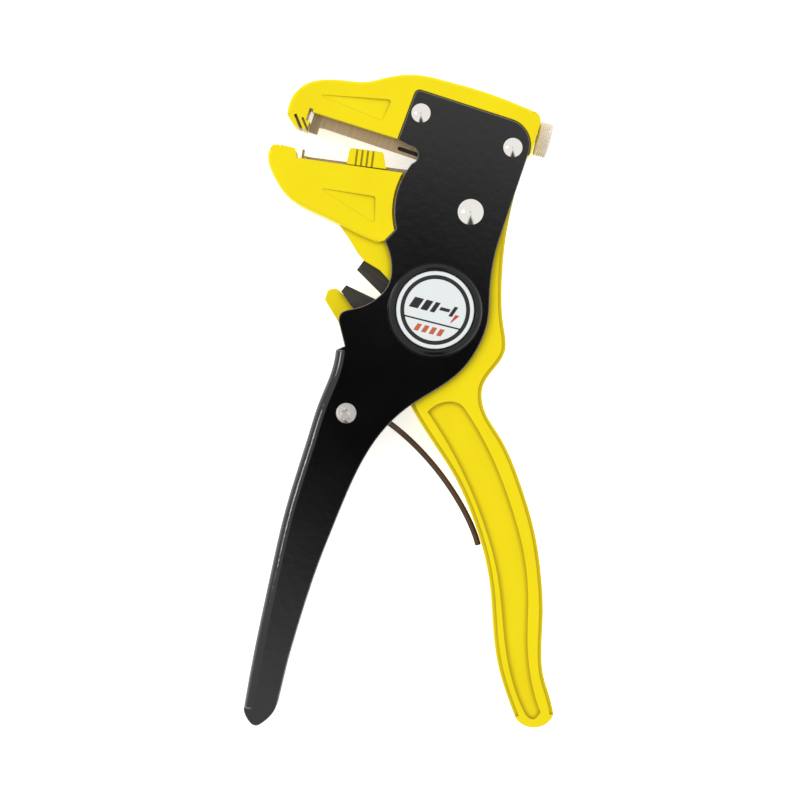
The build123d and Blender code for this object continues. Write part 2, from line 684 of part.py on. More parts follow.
with BuildPart() as jaw_pivot_bush:
    with BuildSketch(home.offset(-core_half)):
        Circle(jaw_bush)
        Circle(main_rivet + fit, mode=Mode.SUBTRACT)
    extrude(amount=2 * core_half)
jaw_pivot_bush.part.label = "jaw_pivot_bush"
export_step(jaw_pivot_bush.part, "parts/jaw_pivot_bush.step")

with BuildPart() as jaw_cam_pin:
    with BuildSketch(home.offset(-core_half)):
        with Locations((cam_x, cam_y)):
            Circle(cam_pin_radius)
    extrude(amount=2 * core_half)
    chamfer(jaw_cam_pin.edges().group_by(Axis.Z)[0], 0.2)
jaw_cam_pin.part.label = "jaw_cam_pin"
export_step(jaw_cam_pin.part, "parts/jaw_cam_pin.step")

# ---- side cutter blade on the jaw tail, and its rivets ----
with BuildPart() as upper_cutter_blade:
    with BuildSketch(home.offset(cutter_gap)):
        with BuildLine():
            Polyline(
                (-28.9, -12.9), (-30.8, -15.4), (-22.6, -23.6), (-17.0, -20.6), (-16.6, -15.0),
                (-24.0, -11.6), close=True,
            )
        make_face()
        with Locations(*upper_cutter_holes):
            Circle(cutter_rivet + fit, mode=Mode.SUBTRACT)
    extrude(amount=cutter)
    keen = upper_cutter_blade.edges().sort_by_distance(spot(-26.7, -19.5, cutter_gap + cutter))[0]
    chamfer(keen, cutter_bevel)
upper_cutter_blade.part.label = "upper_cutter_blade"
export_step(upper_cutter_blade.part, "parts/upper_cutter_blade.step")

with BuildPart() as upper_cutter_rivets:
    with BuildSketch(home.offset(cutter_gap)):
        with Locations(*upper_cutter_holes):
            Circle(cutter_rivet)
    extrude(amount=core_half - cutter_gap)
upper_cutter_rivets.part.label = "upper_cutter_rivets"
export_step(upper_cutter_rivets.part, "parts/upper_cutter_rivets.step")

# ---- moving handle: arm up to the drive pin, hub, cutter finger and grip ----
def handle_right_edge():
    """Outer edge of the moving handle, from its end up the grip and round the neck to the arm's top."""
    return Spline(
        down(22.4, 0.973), down(21.1, 0.923), down(19.7, 0.880), down(19.2, 0.836), down(19.6, 0.722),
        down(19.2, 0.649), down(17.3, 0.533), down(13.5, 0.418), down(7.8, 0.303), down(3.6, 0.237),
        (3.4, -46.9), (6.0, -42.8), (9.3, -37.6), (8.9, -30.5), (8.4, -21.5), (9.5, -7.0), (12.7, 7.6),
    )


def handle_left_edge():
    """Inner edge of the moving handle, from behind the cheek down to its end."""
    return Spline(
        down(-16.4, 0.225), down(-10.6, 0.312), down(-4.1, 0.403), down(0.3, 0.490), down(3.5, 0.577),
        down(5.5, 0.672), down(6.5, 0.793), down(7.8, 0.865), down(9.6, 0.920), down(12.1, 0.980),
    )


def cam_slot_point(share):
    """Cam pin seen from the moving handle, at a share of the squeeze."""
    moved = turned((cam_x, cam_y), -jaw_close * share)
    return turned(moved, squeeze * share, handle_x, handle_y)


with BuildPart(home) as moving_handle:
    with BuildSketch(home.offset(-core_half)):
        with BuildLine():
            right = handle_right_edge()
            left = handle_left_edge()
            Spline(left @ 1, down(15.6, 1.003), down(19.6, 1.0), right @ 0)
            reach = sweep_radius
            top_arc = ThreePointArc(
                polar(reach, 64.0, handle_x, handle_y), polar(reach, 74.0, handle_x, handle_y),
                polar(reach, pin_angle, handle_x, handle_y),
            )
            Line(right @ 1, top_arc @ 0)
            eye_left = (pin_place[0] - eye_radius, pin_place[1])
            eye = ThreePointArc(
                top_arc @ 1, (pin_place[0] - 0.75 * eye_radius, pin_place[1] + 0.66 * eye_radius), eye_left
            )
            FilletPolyline(
                eye_left, (pin_place[0] - eye_radius, pin_place[1] - 1.6),
                (pin_place[0] - 0.4, pin_place[1] - eye_radius), (3.5, 8.6), (6.2, 4.5),
                (jaw_hub + 0.9, -2.0), (2.0, -11.0), (-6.0, handle_y + handle_hub - 0.5),
                (-14.0, handle_y + handle_hub - 2.0),
                (-17.4, handle_y - 1.0), (-18.2, -36.0), (-17.6, -46.0), left @ 0, radius=1.0,
            )
        make_face()
    extrude(amount=2 * core_half)
    with BuildLine(home, mode=Mode.PRIVATE) as right_path:
        handle_right_edge()
    with BuildLine(home, mode=Mode.PRIVATE) as left_path:
        handle_left_edge()
    for side in (-1, 1):
        with BuildSketch(home.offset(side * (core_half - grip_pocket))):
            with BuildLine():
                Spline(
                    down(-11.6, 0.245), down(-5.0, 0.340), down(0.6, 0.444), down(4.3, 0.533),
                    down(7.6, 0.653), down(9.2, 0.793), down(12.1, 0.916), down(14.9, 0.974),
                )
                Spline(down(14.9, 0.974), down(16.8, 0.985), down(18.9, 0.968))
                Spline(
                    down(18.9, 0.968), down(16.4, 0.890), down(15.4, 0.800), down(15.6, 0.700),
                    down(14.3, 0.580), down(11.3, 0.480), down(5.3, 0.343), down(-1.9, 0.233),
                )
                Spline(down(-1.9, 0.233), down(-4.0, 0.222), down(-9.6, 0.230), down(-11.6, 0.245))
            make_face()
        extrude(amount=side * (grip_pocket + 1), mode=Mode.SUBTRACT)
        for path in (left_path, right_path):
            with BuildSketch(across(path.edge())):
                with BuildLine():
                    corner_waste(side, core_half, cast_round)
                make_face()
            sweep(path=path.edge(), mode=Mode.SUBTRACT)
    with BuildSketch(home.offset(-core_half)):
        with BuildLine():
            FilletPolyline(
                (-16.0, -37.0), (-26.0, -34.2), (-35.8, -29.6), (-39.6, -23.4), (-38.7, -20.7),
                (-36.3, -20.3), (-33.6, -23.0), (-24.0, -26.2), (-24.6, -16.4), (-22.6, -10.2),
                (-13.0, -8.0), (-9.0, -11.0), (-8.0, -20.0), radius=1.2, close=True,
            )
        make_face()
    extrude(amount=core_half - layer)
    with BuildSketch(home.offset(-body_half)):
        with BuildLine():
            ThreePointArc(cam_slot_point(0), cam_slot_point(0.5), cam_slot_point(1))
        trace(line_width=2 * cam_pin_radius + 2 * part_gap)
        with Locations(cam_slot_point(0), cam_slot_point(1)):
            Circle(cam_pin_radius + part_gap)
    extrude(amount=body_half, mode=Mode.SUBTRACT)
    with BuildSketch(home.offset(-throat_half)):
        with BuildLine():
            throat = [polar(34.0, a, handle_x, handle_y) for a in (95.0, 40.0)]
            Polyline(throat[0], throat[1], (22.0, 14.0), (6.0, 22.0), (-14.0, 24.0), close=True)
        make_face()
    extrude(amount=2 * throat_half, mode=Mode.SUBTRACT)
    with BuildSketch(home.offset(-body_half)):
        with Locations(pin_place):
            Circle(drive_pin_radius + fit)
        with Locations((handle_x, handle_y)):
            Circle(handle_bush + fit)
        with Locations(*lower_cutter_holes):
            Circle(cutter_rivet + fit)
    extrude(amount=2 * body_half, mode=Mode.SUBTRACT)
moving_handle.part.label = "moving_handle"
export_step(moving_handle.part, "parts/moving_handle.step")

with BuildPart() as handle_pivot_bush:
    with BuildSketch(home.offset(-core_half)):
        with Locations((handle_x, handle_y)):
            Circle(handle_bush)
            Circle(handle_pin + fit, mode=Mode.SUBTRACT)
    extrude(amount=2 * core_half)
handle_pivot_bush.part.label = "handle_pivot_bush"
export_step(handle_pivot_bush.part, "parts/handle_pivot_bush.step")

with BuildPart() as drive_pin:
    with BuildSketch(home.offset(-core_half)):
        with Locations(pin_place):
            Circle(drive_pin_radius)
    extrude(amount=2 * core_half)
drive_pin.part.label = "drive_pin"
export_step(drive_pin.part, "parts/drive_pin.step")

with BuildPart() as lower_cutter_blade:
    with BuildSketch(home.offset(-cutter_gap - cutter)):
        with BuildLine():
            Polyline(
                (-35.1, -21.2), (-33.7, -19.5), (-25.6, -23.4), (-18.6, -26.6), (-18.6, -31.0),
                (-26.5, -30.6), (-32.2, -25.4), close=True,
            )
        make_face()
        with Locations(*lower_cutter_holes):
            Circle(cutter_rivet + fit, mode=Mode.SUBTRACT)
    extrude(amount=cutter)
    keen = lower_cutter_blade.edges().sort_by_distance(spot(-29.6, -21.4, -cutter_gap - cutter))[0]
    chamfer(keen, cutter_bevel)
lower_cutter_blade.part.label = "lower_cutter_blade"
export_step(lower_cutter_blade.part, "parts/lower_cutter_blade.step")

with BuildPart() as lower_cutter_rivets:
    with BuildSketch(home.offset(-core_half)):
        with Locations(*lower_cutter_holes):
            Circle(cutter_rivet)
    extrude(amount=core_half - cutter_gap)
lower_cutter_rivets.part.label = "lower_cutter_rivets"
export_step(lower_cutter_rivets.part, "parts/lower_cutter_rivets.step")

# ---- length stop: ribbed tab on the front wall of the lower jaw, held by a foot in its slot ----
stop_left, stop_right = -34.9, -24.1
stop_high = 4.5  # above the edge of the jaw
groove_first, groove_pitch, groove_wide, groove_deep = -32.5, 1.47, 0.5, 0.5
with BuildPart() as length_stop:
    with BuildSketch(lower_rail.offset(channel_half + part_gap)):
        with BuildLine():
            FilletPolyline(
                (stop_left, lower_jaw_edge + fit), (stop_right, lower_jaw_edge + fit),
                (stop_right - 1.4, lower_jaw_edge + stop_high), (stop_left + 0.3, lower_jaw_edge + stop_high),
                radius=[0.2, 0.2, 0.8, 0.8], close=True,
            )
        make_face()
    extrude(amount=casting_half - channel_half - part_gap - flush_step)
    with BuildSketch(lower_rail.offset(casting_half - flush_step - groove_deep)):
        with Locations(*[(groove_first + groove_pitch * i, lower_jaw_edge) for i in range(4)]):
            Rectangle(groove_wide, 3 * stop_high)
    extrude(amount=groove_deep + 1, mode=Mode.SUBTRACT)
    for low, high, top, bottom in [
        (stop_neck_low, stop_neck_high, lower_jaw_edge + 0.5, lower_jaw_edge - stop_neck_depth - 0.5),
        (stop_foot_low, stop_foot_high, lower_jaw_edge - stop_neck_depth - fit,
         lower_jaw_edge - stop_foot_depth + fit),
    ]:
        with BuildSketch(lower_rail.offset(low + fit)):
            with Locations(((stop_left + stop_right) / 2, (top + bottom) / 2)):
                Rectangle(7.0, top - bottom)
        extrude(amount=high - low - 2 * fit)
length_stop.part.label = "length_stop"
export_step(length_stop.part, "parts/length_stop.step")

# ---- handle spring: coil round the anchor rivet, short leg on the web, long leg to the handle ----
coil_half = (coil_turns + 1) * wire_radius
with BuildPart() as handle_spring:
    with BuildSketch(home.offset(-coil_half)):
        with Locations(anchor_place):
            Circle(coil_radius + wire_radius)
            Circle(coil_radius - wire_radius, mode=Mode.SUBTRACT)
    extrude(amount=2 * coil_half)
    leg_start = polar(coil_radius, 55.0, *anchor_place)
    with BuildLine(home) as leg:
        FilletPolyline(
            leg_start, down(-19.6, 0.2805), down(-9.4, 0.3802), down(-1.6, 0.4818), down(2.1, 0.5672),
            radius=[60.0, 60.0, 60.0],
        )
    with BuildSketch(Plane(leg.line @ 0, z_dir=leg.line % 0)):
        Circle(wire_radius)
    sweep(path=leg.line)
    rest_start = polar(coil_radius, 155.0, *anchor_place)
    with BuildLine(home) as rest_leg:
        Line(rest_start, down(-42.7, 0.3428))
    with BuildSketch(Plane(rest_leg.line @ 0, z_dir=rest_leg.line % 0)):
        Circle(wire_radius)
    sweep(path=rest_leg.line)
handle_spring.part.label = "handle_spring"
export_step(handle_spring.part, "parts/handle_spring.step")
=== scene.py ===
# Duckbill wire stripper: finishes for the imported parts, and fine pieces that stand in for the plain ones.
import json
import bmesh
import bpy
import numpy as np
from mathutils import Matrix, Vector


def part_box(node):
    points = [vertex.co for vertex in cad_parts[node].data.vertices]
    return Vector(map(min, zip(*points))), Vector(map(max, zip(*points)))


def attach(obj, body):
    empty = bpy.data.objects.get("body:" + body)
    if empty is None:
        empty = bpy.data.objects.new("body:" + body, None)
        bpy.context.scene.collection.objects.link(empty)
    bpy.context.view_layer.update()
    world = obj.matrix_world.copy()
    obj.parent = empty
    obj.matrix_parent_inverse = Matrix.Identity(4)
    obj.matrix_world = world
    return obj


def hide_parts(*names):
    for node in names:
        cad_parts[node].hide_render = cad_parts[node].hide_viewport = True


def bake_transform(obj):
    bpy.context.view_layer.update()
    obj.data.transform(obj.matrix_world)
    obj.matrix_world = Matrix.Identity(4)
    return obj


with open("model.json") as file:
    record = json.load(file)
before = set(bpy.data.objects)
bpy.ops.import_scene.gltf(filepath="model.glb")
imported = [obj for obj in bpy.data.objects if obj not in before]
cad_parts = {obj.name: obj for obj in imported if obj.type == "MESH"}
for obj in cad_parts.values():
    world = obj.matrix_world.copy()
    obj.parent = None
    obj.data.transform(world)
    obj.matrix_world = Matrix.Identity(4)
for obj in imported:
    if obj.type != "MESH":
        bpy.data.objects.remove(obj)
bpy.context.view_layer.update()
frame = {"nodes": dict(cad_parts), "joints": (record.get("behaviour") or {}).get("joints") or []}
nodes = frame["nodes"]
joints = {joint["name"]: joint for joint in frame["joints"]}
mm = 0.001
jawPivot = np.array(joints["jaw_close"]["pos_m"])
print("parts loaded:", len(nodes))


def makeGrid(name, points, wrapU=False, wrapV=False, sharpAngle=0.6):
    # points[i, j] is the surface at step i of the first parameter and step j of the second;
    # neighbouring steps are joined by four-sided faces, doubled points are merged, faces turned outwards
    nu, nv = points.shape[:2]
    i, j = np.meshgrid(np.arange(nu if wrapU else nu - 1), np.arange(nv if wrapV else nv - 1), indexing="ij")
    iNext, jNext = (i + 1) % nu, (j + 1) % nv
    quads = np.stack([i * nv + j, iNext * nv + j, iNext * nv + jNext, i * nv + jNext], axis=-1).reshape(-1, 4)
    mesh = bpy.data.meshes.new(name)
    mesh.vertices.add(nu * nv)
    mesh.vertices.foreach_set("co", np.ascontiguousarray(points, dtype=np.float32).ravel())
    mesh.loops.add(quads.size)
    mesh.loops.foreach_set("vertex_index", quads.ravel().astype(np.int32))
    mesh.polygons.add(len(quads))
    mesh.polygons.foreach_set("loop_start", np.arange(0, quads.size, 4, dtype=np.int32))
    mesh.update(calc_edges=True)
    work = bmesh.new()
    work.from_mesh(mesh)
    bmesh.ops.remove_doubles(work, verts=work.verts, dist=1e-7)
    bmesh.ops.dissolve_degenerate(work, edges=work.edges, dist=1e-8)
    bmesh.ops.recalc_face_normals(work, faces=work.faces)
    work.to_mesh(mesh)
    work.free()
    mesh.polygons.foreach_set("use_smooth", np.ones(len(mesh.polygons), dtype=bool))
    mesh.set_sharp_from_angle(angle=sharpAngle)
    piece = bpy.data.objects.new(name, mesh)
    bpy.context.scene.collection.objects.link(piece)
    return piece


def giveFinish(piece, material):
    piece.data.materials.clear()
    piece.data.materials.append(material)


# node helpers
def addNode(tree, kind, x, y, values=None, **settings):
    node = tree.nodes.new(kind)
    node.location = (x, y)
    for key, value in settings.items():
        setattr(node, key, value)
    for key, value in (values or {}).items():
        node.inputs[key].default_value = value
    return node


def newGroup(name, inputs, outputs):
    tree = bpy.data.node_groups.new(name, "ShaderNodeTree")
    for label, kind, value in inputs:
        socket = tree.interface.new_socket(name=label, in_out="INPUT", socket_type=kind)
        if value is not None:
            socket.default_value = value
    for label, kind in outputs:
        tree.interface.new_socket(name=label, in_out="OUTPUT", socket_type=kind)
    return tree, tree.nodes.new("NodeGroupInput"), tree.nodes.new("NodeGroupOutput")


def placeGroup(tree, group, x, y, values=None):
    node = tree.nodes.new("ShaderNodeGroup")
    node.node_tree = group
    node.location = (x, y)
    for key, value in (values or {}).items():
        node.inputs[key].default_value = value
    return node


# shared effects
def makeSoftEdge():
    # normals rounded over the given radius, and a mask of where they leave the true surface
    tree, given, out = newGroup("softEdge",
                                [("Radius", "NodeSocketFloat", 0.0002), ("Gain", "NodeSocketFloat", 8.0)],
                                [("Normal", "NodeSocketVector"), ("Edge", "NodeSocketFloat")])
    bevel = addNode(tree, "ShaderNodeBevel", -400, 100, samples=5)
    shape = addNode(tree, "ShaderNodeNewGeometry", -400, -100)
    dot = addNode(tree, "ShaderNodeVectorMath", -200, 0, operation="DOT_PRODUCT")
    away = addNode(tree, "ShaderNodeMath", 0, 0, {0: 1.0}, operation="SUBTRACT")
    gain = addNode(tree, "ShaderNodeMath", 150, 0, operation="MULTIPLY", use_clamp=True)
    tree.links.new(given.outputs["Radius"], bevel.inputs["Radius"])
    tree.links.new(bevel.outputs["Normal"], dot.inputs[0])
    tree.links.new(shape.outputs["Normal"], dot.inputs[1])
    tree.links.new(dot.outputs["Value"], away.inputs[1])
    tree.links.new(away.outputs[0], gain.inputs[0])
    tree.links.new(given.outputs["Gain"], gain.inputs[1])
    tree.links.new(bevel.outputs["Normal"], out.inputs["Normal"])
    tree.links.new(gain.outputs[0], out.inputs["Edge"])
    return tree


def makeSpeckle():
    # soft blotches plus small sharp specks, from two noises at different scales
    tree, given, out = newGroup("speckle",
                                [("Blotch Scale", "NodeSocketFloat", 60.0),
                                 ("Speck Scale", "NodeSocketFloat", 1500.0),
                                 ("Speck Level", "NodeSocketFloat", 0.68)],
                                [("Blotch", "NodeSocketFloat"), ("Specks", "NodeSocketFloat")])
    place = addNode(tree, "ShaderNodeTexCoord", -600, 0)
    blotch = addNode(tree, "ShaderNodeTexNoise", -400, 150, {"Detail": 3.0})
    speck = addNode(tree, "ShaderNodeTexNoise", -400, -150, {"Detail": 2.0})
    level = addNode(tree, "ShaderNodeMath", -200, -150, operation="SUBTRACT")
    steep = addNode(tree, "ShaderNodeMath", -50, -150, {1: 12.0}, operation="MULTIPLY", use_clamp=True)
    for node, label in ((blotch, "Blotch Scale"), (speck, "Speck Scale")):
        tree.links.new(place.outputs["Object"], node.inputs["Vector"])
        tree.links.new(given.outputs[label], node.inputs["Scale"])
    tree.links.new(speck.outputs["Fac"], level.inputs[0])
    tree.links.new(given.outputs["Speck Level"], level.inputs[1])
    tree.links.new(level.outputs[0], steep.inputs[0])
    tree.links.new(blotch.outputs["Fac"], out.inputs["Blotch"])
    tree.links.new(steep.outputs[0], out.inputs["Specks"])
    return tree


def makeRecessShade():
    # how closed in a place is, from 0 in the open to 1 deep in a corner; the lemon paint uses it to paint
    # shade into hollows
    tree, given, out = newGroup("recessShade",
                                [("Reach", "NodeSocketFloat", 0.0015), ("Gain", "NodeSocketFloat", 1.4)],
                                [("Depth", "NodeSocketFloat")])
    near = addNode(tree, "ShaderNodeAmbientOcclusion", -300, 0, samples=6)
    away = addNode(tree, "ShaderNodeMath", -100, 0, {0: 1.0}, operation="SUBTRACT")
    gain = addNode(tree, "ShaderNodeMath", 50, 0, operation="MULTIPLY", use_clamp=True)
    tree.links.new(given.outputs["Reach"], near.inputs["Distance"])
    tree.links.new(near.outputs["AO"], away.inputs[1])
    tree.links.new(away.outputs[0], gain.inputs[0])
    tree.links.new(given.outputs["Gain"], gain.inputs[1])
    tree.links.new(gain.outputs[0], out.inputs["Depth"])
    return tree


def makeBrushing():
    # fine parallel lines along one direction: noise stretched by the mapping's scale, turned by its angle
    tree, given, out = newGroup("brushing",
                                [("Angle", "NodeSocketVector", None), ("Stretch", "NodeSocketVector", None)],
                                [("Lines", "NodeSocketFloat"), ("Streaks", "NodeSocketFloat")])
    place = addNode(tree, "ShaderNodeTexCoord", -800, 0)
    turn = addNode(tree, "ShaderNodeVectorRotate", -600, 0, rotation_type="EULER_XYZ")
    stretch = addNode(tree, "ShaderNodeVectorMath", -400, 0, operation="MULTIPLY")
    lines = addNode(tree, "ShaderNodeTexNoise", -200, 120, {"Scale": 1.0, "Detail": 4.0, "Roughness": 0.7})
    streaks = addNode(tree, "ShaderNodeTexNoise", -200, -120, {"Scale": 0.18, "Detail": 2.0})
    tree.links.new(place.outputs["Object"], turn.inputs["Vector"])
    tree.links.new(given.outputs["Angle"], turn.inputs["Rotation"])
    tree.links.new(turn.outputs["Vector"], stretch.inputs[0])
    tree.links.new(given.outputs["Stretch"], stretch.inputs[1])
    for node, label in ((lines, "Lines"), (streaks, "Streaks")):
        tree.links.new(stretch.outputs["Vector"], node.inputs["Vector"])
        tree.links.new(node.outputs["Fac"], out.inputs[label])
    return tree


softEdge, speckle, recessShade, brushing = makeSoftEdge(), makeSpeckle(), makeRecessShade(), makeBrushing()


def mixColour(tree, x, y, factor, first, second, mode="MIX"):
    # blends two colours by a factor socket; each colour is a socket or a plain value
    node = addNode(tree, "ShaderNodeMix", x, y, data_type="RGBA", blend_type=mode)
    tree.links.new(factor, node.inputs[0])
    for socket, colour in ((node.inputs[6], first), (node.inputs[7], second)):
        if isinstance(colour, bpy.types.NodeSocket):
            tree.links.new(colour, socket)
        else:
            socket.default_value = (*colour, 1.0)
    return node.outputs[2]


def rangeOf(tree, x, y, source, low, high):
    # a 0 to 1 value spread between two limits
    node = addNode(tree, "ShaderNodeMapRange", x, y, {"To Min": low, "To Max": high})
    tree.links.new(source, node.inputs["Value"])
    return node.outputs["Result"]


def startMaterial(name, **plain):
    material = bpy.data.materials.new(name)
    material.use_nodes = True
    tree = material.node_tree
    shader = tree.nodes["Principled BSDF"]
    for key, value in plain.items():
        shader.inputs[key.replace("_", " ")].default_value = value
    return material, tree, shader


def addRelief(tree, shader, height, depth, normal=None, strength=1.0):
    # raises the surface by a height socket, over an already rounded normal
    bump = addNode(tree, "ShaderNodeBump", -200, -400, {"Strength": strength, "Distance": depth})
    tree.links.new(height, bump.inputs["Height"])
    if normal is not None:
        tree.links.new(normal, bump.inputs["Normal"])
    tree.links.new(bump.outputs["Normal"], shader.inputs["Normal"])


# paints
castingPaint = {
    # the dark olive colour is painted shade laid into hollows and corners
    "lemon": (0.94, 0.76, 0.0), "lemonDeep": (0.83, 0.66, 0.0), "paintedHollowShade": (0.36, 0.26, 0.0),
    # the paler yellow for edges is a painted highlight along rounded edges
    "paintedEdgeHighlight": (0.96, 0.84, 0.06), "edgeRadius": 0.32 * mm, "highlightShare": 0.35,
    "shadeReach": 1.3 * mm, "shadeShare": 0.75, "rough": (0.30, 0.42),
    "grainScale": 2600.0, "grainDepth": 0.010 * mm,
}


def makeLemonPaint():
    material, tree, shader = startMaterial("lemonEnamel", Coat_Weight=0.04, Coat_Roughness=0.22,
                                           Specular_IOR_Level=0.18)
    edge = placeGroup(tree, softEdge, -900, -200, {"Radius": castingPaint["edgeRadius"], "Gain": 3.0})
    paintedHollowShade = placeGroup(tree, recessShade, -900, 0, {"Reach": castingPaint["shadeReach"], "Gain": 1.5})
    spots = placeGroup(tree, speckle, -900, 200,
                       {"Blotch Scale": 70.0, "Speck Scale": 1700.0, "Speck Level": 0.70})
    # painted highlight: the yellow turns paler along rounded edges
    atEdge = rangeOf(tree, -600, 0, edge.outputs["Edge"], 0.0, castingPaint["highlightShare"])
    # painted shade: the yellow darkens towards olive where the place is closed in
    inPaintedShade = rangeOf(tree, -450, 0, paintedHollowShade.outputs["Depth"], 0.0, castingPaint["shadeShare"])
    base = mixColour(tree, -600, 200, spots.outputs["Blotch"],
                     castingPaint["lemon"], castingPaint["lemonDeep"])
    lit = mixColour(tree, -450, 200, atEdge, base, castingPaint["paintedEdgeHighlight"])
    shaded = mixColour(tree, -300, 200, inPaintedShade, lit, castingPaint["paintedHollowShade"])
    tree.links.new(shaded, shader.inputs["Base Color"])
    tree.links.new(rangeOf(tree, -300, 0, spots.outputs["Blotch"], *castingPaint["rough"]),
                   shader.inputs["Roughness"])
    place = addNode(tree, "ShaderNodeTexCoord", -900, -500)
    grain = addNode(tree, "ShaderNodeTexNoise", -650, -500,
                    {"Scale": castingPaint["grainScale"], "Detail": 4.0})
    tree.links.new(place.outputs["Object"], grain.inputs["Vector"])
    addRelief(tree, shader, grain.outputs["Fac"], castingPaint["grainDepth"], edge.outputs["Normal"])
    return material


framePaint = {
    # the pale colour for edges is partly worn bare sheet and partly a painted highlight standing for edge
    # reflections
    "black": (0.0012, 0.0011, 0.0013), "bloom": (0.0036, 0.0032, 0.0034), "wornAndHighlightedEdge": (0.42, 0.36, 0.31),
    "dust": (0.05, 0.05, 0.05), "dustShare": 0.30, "edgeRadius": 0.42 * mm, "edgeHighlightShare": 0.85,
    "rough": (0.05, 0.10), "peelScale": 420.0, "peelDepth": 0.006 * mm,
}


def makeBlackPaint():
    material, tree, shader = startMaterial("blackEnamel", Specular_IOR_Level=0.62)
    edge = placeGroup(tree, softEdge, -900, -200, {"Radius": framePaint["edgeRadius"], "Gain": 8.0})
    spots = placeGroup(tree, speckle, -900, 200,
                       {"Blotch Scale": 45.0, "Speck Scale": 2300.0, "Speck Level": 0.71})
    base = mixColour(tree, -600, 200, spots.outputs["Blotch"], framePaint["black"], framePaint["bloom"])
    onSpecks = rangeOf(tree, -600, 0, spots.outputs["Specks"], 0.0, framePaint["dustShare"])
    # edges turn pale: partly wear, partly a painted highlight
    atEdge = rangeOf(tree, -450, 0, edge.outputs["Edge"], 0.0, framePaint["edgeHighlightShare"])
    dusty = mixColour(tree, -450, 200, onSpecks, base, framePaint["dust"])
    wornAndHighlighted = mixColour(tree, -300, 200, atEdge, dusty, framePaint["wornAndHighlightedEdge"])
    tree.links.new(wornAndHighlighted, shader.inputs["Base Color"])
    tree.links.new(rangeOf(tree, -300, 0, spots.outputs["Blotch"], *framePaint["rough"]),
                   shader.inputs["Roughness"])
    place = addNode(tree, "ShaderNodeTexCoord", -900, -500)
    peel = addNode(tree, "ShaderNodeTexNoise", -650, -500, {"Scale": framePaint["peelScale"], "Detail": 2.0})
    tree.links.new(place.outputs["Object"], peel.inputs["Vector"])
    addRelief(tree, shader, peel.outputs["Fac"], framePaint["peelDepth"], edge.outputs["Normal"])
    return material


def makeMoulding(name, colour, roughness, edgeRadius=0.15 * mm, shine=0.5):
    # gloss moulded plastic with a faint flow and softened edges
    material, tree, shader = startMaterial(name, Specular_IOR_Level=shine)
    edge = placeGroup(tree, softEdge, -900, -200, {"Radius": edgeRadius, "Gain": 3.0})
    spots = placeGroup(tree, speckle, -900, 200,
                       {"Blotch Scale": 120.0, "Speck Scale": 2600.0, "Speck Level": 0.72})
    lighter = tuple(min(1.0, c * 1.5 + 0.004) for c in colour)
    tree.links.new(mixColour(tree, -600, 200, spots.outputs["Blotch"], colour, lighter),
                   shader.inputs["Base Color"])
    gloss = rangeOf(tree, -600, 0, spots.outputs["Blotch"], roughness * 0.8, roughness * 1.25)
    tree.links.new(gloss, shader.inputs["Roughness"])
    addRelief(tree, shader, spots.outputs["Blotch"], 0.01 * mm, edge.outputs["Normal"], 0.4)
    return material


# metals
# "angle" is the way of the brushing in the tool's plane in degrees, "stretch" how fine the lines are each way
steelFinish = {
    "rivetSteel": {"colour": (0.91, 0.88, 0.84), "tint": (0.84, 0.80, 0.75), "angle": 0,
                   "stretch": (900, 900, 900), "rough": (0.07, 0.20), "depth": 0.003 * mm},
    "pinSteel": {"colour": (0.60, 0.58, 0.55), "tint": (0.46, 0.44, 0.42), "angle": 0,
                 "stretch": (1500, 1500, 300), "rough": (0.22, 0.42), "depth": 0.006 * mm},
    "bladeSteel": {"colour": (0.38, 0.30, 0.17), "tint": (0.25, 0.19, 0.10), "angle": 70,
                   "stretch": (240, 6500, 6500), "rough": (0.26, 0.46), "depth": 0.008 * mm},
    "barSteel": {"colour": (0.56, 0.43, 0.27), "tint": (0.37, 0.275, 0.16), "angle": 71.5,
                 "stretch": (260, 5200, 5200), "rough": (0.30, 0.52), "depth": 0.010 * mm},
    "cutterSteel": {"colour": (0.045, 0.041, 0.037), "tint": (0.085, 0.078, 0.070), "angle": -40,
                    "stretch": (260, 4200, 4200), "rough": (0.30, 0.50), "depth": 0.012 * mm},
    "nickelPlate": {"colour": (0.92, 0.84, 0.73), "tint": (0.77, 0.68, 0.56), "angle": 75,
                    "stretch": (700, 1600, 1600), "rough": (0.20, 0.38), "depth": 0.006 * mm},
    "springSteel": {"colour": (0.15, 0.095, 0.075), "tint": (0.060, 0.036, 0.030), "angle": 0,
                    "stretch": (700, 700, 700), "rough": (0.30, 0.48), "depth": 0.006 * mm},
    "oiledSteel": {"colour": (0.20, 0.155, 0.085), "tint": (0.12, 0.09, 0.05), "angle": 110,
                   "stretch": (260, 4200, 4200), "rough": (0.32, 0.5), "depth": 0.008 * mm},
}
steelEdge = {"radius": 0.08 * mm, "gain": 6.0, "share": 0.6}


